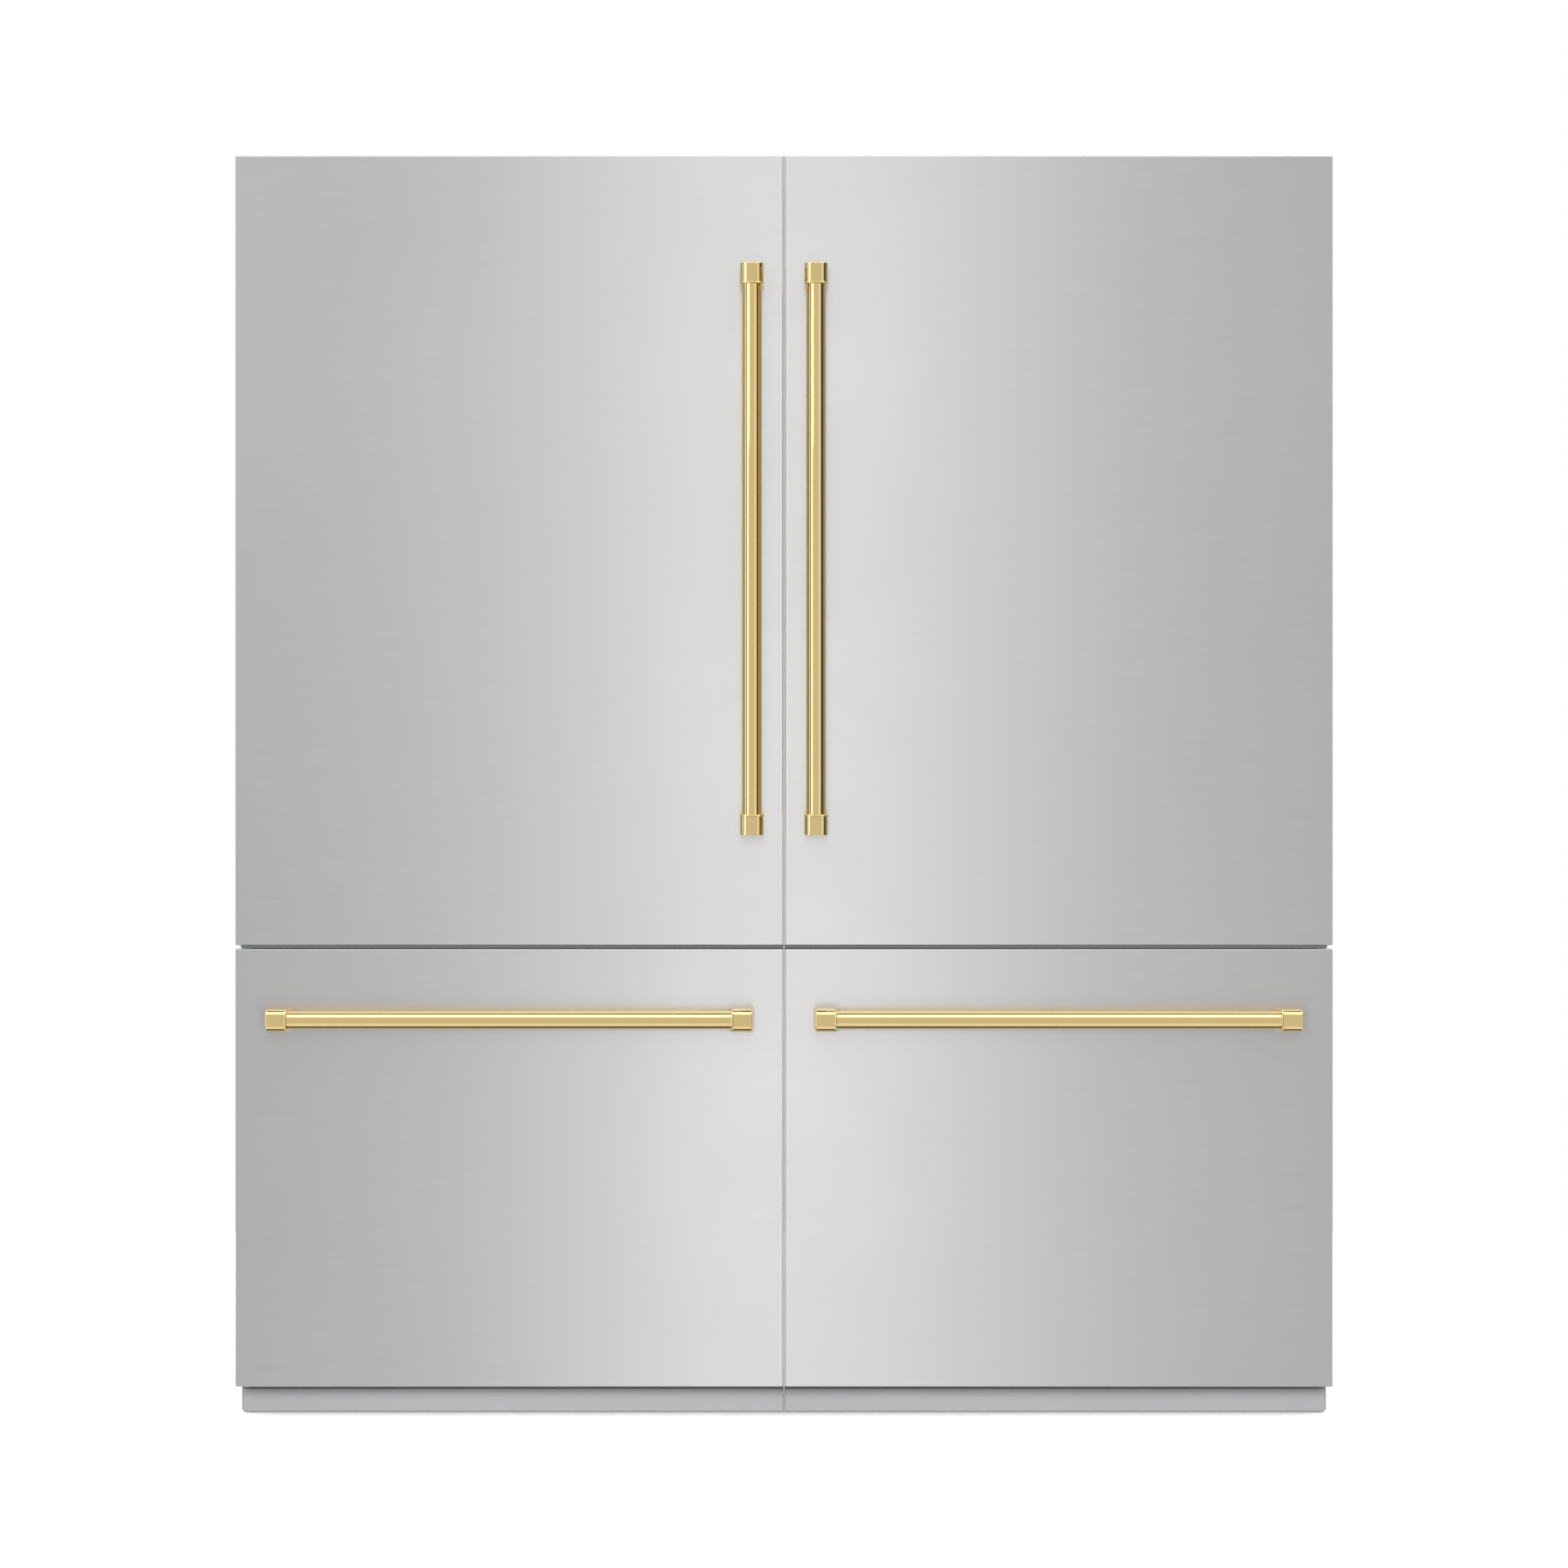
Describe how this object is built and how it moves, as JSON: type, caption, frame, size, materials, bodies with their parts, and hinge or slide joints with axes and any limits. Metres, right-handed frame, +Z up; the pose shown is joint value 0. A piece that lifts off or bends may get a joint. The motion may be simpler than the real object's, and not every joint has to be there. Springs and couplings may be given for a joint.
{
  "type": "french door refrigerator",
  "caption": "Built-in French door refrigerator in brushed steel with gold bar handles: hinged cold doors over pull-out freezer drawers, with shelves, bins and crispers.",
  "frame": {"origin": "on the floor, at the middle of the overall footprint, handles included", "axes": "+X to the right as seen from the front, +Y from the doors to the back, +Z up"},
  "size_m": [1.8288, 0.693, 2.102],
  "materials": {
    "stainless": "satin",
    "gold_plate": "polished",
    "galvanised": "satin",
    "white_liner": "gloss",
    "gasket_grey": "matte",
    "clear_plastic": "gloss",
    "shelf_glass": "gloss",
    "black_enamel": "satin",
    "fin_aluminium": "satin"
  },
  "bodies": {
    "cabinet": {"left_outer_case": "galvanised", "left_foamed_liner": "white_liner", "left_base_chassis": "galvanised", "left_toe_kick": "stainless", "left_compressor": "black_enamel", "left_condenser": "fin_aluminium", "left_shelf_upper": "shelf_glass", "left_shelf_lower": "shelf_glass", "left_crisper_cover": "shelf_glass", "left_hinge_upper": "galvanised", "left_hinge_lower": "galvanised", "right_outer_case": "galvanised", "right_foamed_liner": "white_liner", "right_base_chassis": "galvanised", "right_toe_kick": "stainless", "right_compressor": "black_enamel", "right_condenser": "fin_aluminium", "right_shelf_upper": "shelf_glass", "right_shelf_lower": "shelf_glass", "right_crisper_cover": "shelf_glass", "right_hinge_upper": "galvanised", "right_hinge_lower": "galvanised"},
    "left_door": {"left_door_panel": "stainless", "left_door_core": "white_liner", "left_door_gasket": "gasket_grey", "left_bin_upper": "clear_plastic", "left_bin_lower": "clear_plastic", "left_door_handle_bar": "gold_plate", "left_door_bracket_upper": "gold_plate", "left_door_bracket_lower": "gold_plate"},
    "left_drawer": {"left_drawer_panel": "stainless", "left_drawer_core": "white_liner", "left_drawer_gasket": "gasket_grey", "left_drawer_rails": "galvanised", "left_freezer_basket": "clear_plastic", "left_drawer_handle_bar": "gold_plate", "left_drawer_bracket_inner": "gold_plate", "left_drawer_bracket_outer": "gold_plate"},
    "left_tray": {"left_freezer_tray": "clear_plastic"},
    "left_inner_crisper": {"left_crisper_inner": "clear_plastic"},
    "left_outer_crisper": {"left_crisper_outer": "clear_plastic"},
    "right_door": {"right_door_panel": "stainless", "right_door_core": "white_liner", "right_door_gasket": "gasket_grey", "right_bin_upper": "clear_plastic", "right_bin_lower": "clear_plastic", "right_door_handle_bar": "gold_plate", "right_door_bracket_upper": "gold_plate", "right_door_bracket_lower": "gold_plate"},
    "right_drawer": {"right_drawer_panel": "stainless", "right_drawer_core": "white_liner", "right_drawer_gasket": "gasket_grey", "right_drawer_rails": "galvanised", "right_freezer_basket": "clear_plastic", "right_drawer_handle_bar": "gold_plate", "right_drawer_bracket_inner": "gold_plate", "right_drawer_bracket_outer": "gold_plate"},
    "right_tray": {"right_freezer_tray": "clear_plastic"},
    "right_inner_crisper": {"right_crisper_inner": "clear_plastic"},
    "right_outer_crisper": {"right_crisper_outer": "clear_plastic"}
  },
  "joints": [
    {"name": "left_door_swing", "type": "hinge", "parent": "cabinet", "child": "left_door", "pos_m": [-0.8984, -0.2515, 0.786], "axis": [0, 0, -1], "range_deg": [0, 115]},
    {"name": "left_drawer_slide", "type": "slide", "parent": "cabinet", "child": "left_drawer", "axis": [0, -1, 0], "range_m": [0, 0.42]},
    {"name": "left_tray_slide", "type": "slide", "parent": "left_drawer", "child": "left_tray", "axis": [0, 1, 0], "range_m": [0, 0.2]},
    {"name": "left_inner_crisper_slide", "type": "slide", "parent": "cabinet", "child": "left_inner_crisper", "axis": [0, -1, 0], "range_m": [0, 0.12]},
    {"name": "left_outer_crisper_slide", "type": "slide", "parent": "cabinet", "child": "left_outer_crisper", "axis": [0, -1, 0], "range_m": [0, 0.12]},
    {"name": "right_door_swing", "type": "hinge", "parent": "cabinet", "child": "right_door", "pos_m": [0.8984, -0.2515, 0.786], "axis": [0, 0, 1], "range_deg": [0, 115]},
    {"name": "right_drawer_slide", "type": "slide", "parent": "cabinet", "child": "right_drawer", "axis": [0, -1, 0], "range_m": [0, 0.42]},
    {"name": "right_tray_slide", "type": "slide", "parent": "right_drawer", "child": "right_tray", "axis": [0, 1, 0], "range_m": [0, 0.2]},
    {"name": "right_inner_crisper_slide", "type": "slide", "parent": "cabinet", "child": "right_inner_crisper", "axis": [0, -1, 0], "range_m": [0, 0.12]},
    {"name": "right_outer_crisper_slide", "type": "slide", "parent": "cabinet", "child": "right_outer_crisper", "axis": [0, -1, 0], "range_m": [0, 0.12]}
  ]
}
